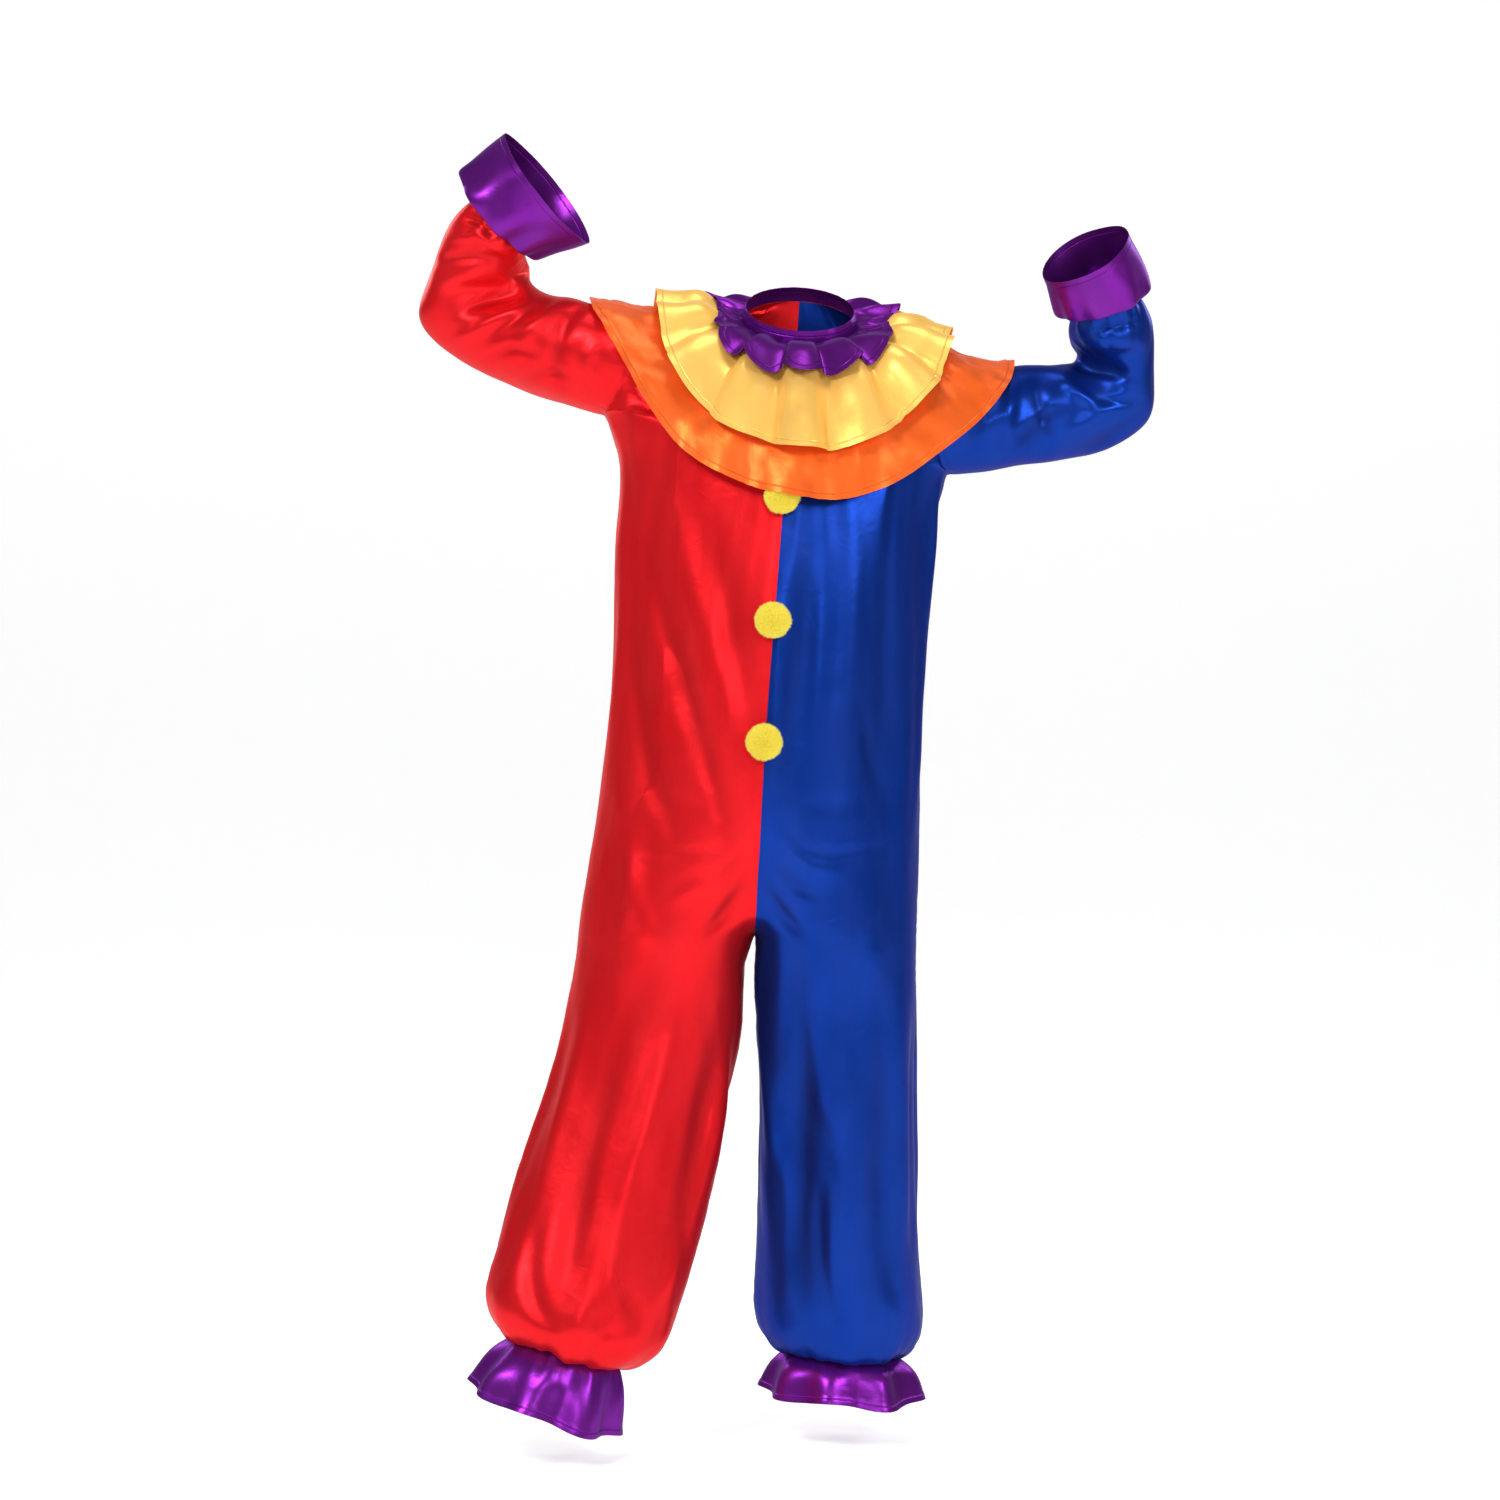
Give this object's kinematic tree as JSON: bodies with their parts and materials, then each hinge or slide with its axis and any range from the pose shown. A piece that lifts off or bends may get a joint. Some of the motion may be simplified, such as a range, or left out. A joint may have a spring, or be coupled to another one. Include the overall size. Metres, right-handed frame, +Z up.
{
  "type": "clown costume",
  "caption": "Hollow one-piece clown suit, worn shape: red and blue halves, gathered tiered collar, pompoms, frilled wrists and ankles.",
  "frame": {"origin": "between the shoulders at the base of the neck, where the wearer carries the suit", "axes": "+X to the wearer's left, -Y out of the front, +Z up"},
  "size_m": [0.9514, 0.3772, 1.6344],
  "materials": {
    "red_satin": "glossy polyester satin",
    "blue_satin": "glossy polyester satin",
    "purple_satin": "glossy polyester satin",
    "yellow_satin": "glossy polyester satin",
    "orange_satin": "glossy polyester satin",
    "pompom_yarn": "dense short acrylic pile"
  },
  "bodies": {
    "root": {"right_front_panel": "red_satin", "right_back_panel": "red_satin", "right_sleeve": "red_satin", "right_wrist_frill": "purple_satin", "right_ankle_frill": "purple_satin", "left_front_panel": "blue_satin", "left_back_panel": "blue_satin", "left_sleeve": "blue_satin", "left_wrist_frill": "purple_satin", "left_ankle_frill": "purple_satin", "orange_tier": "orange_satin", "yellow_tier": "yellow_satin", "neck_ruffle": "purple_satin", "neck_band": "purple_satin", "pompom_1": "pompom_yarn", "pompom_2": "pompom_yarn", "pompom_3": "pompom_yarn"}
  },
  "joints": []
}
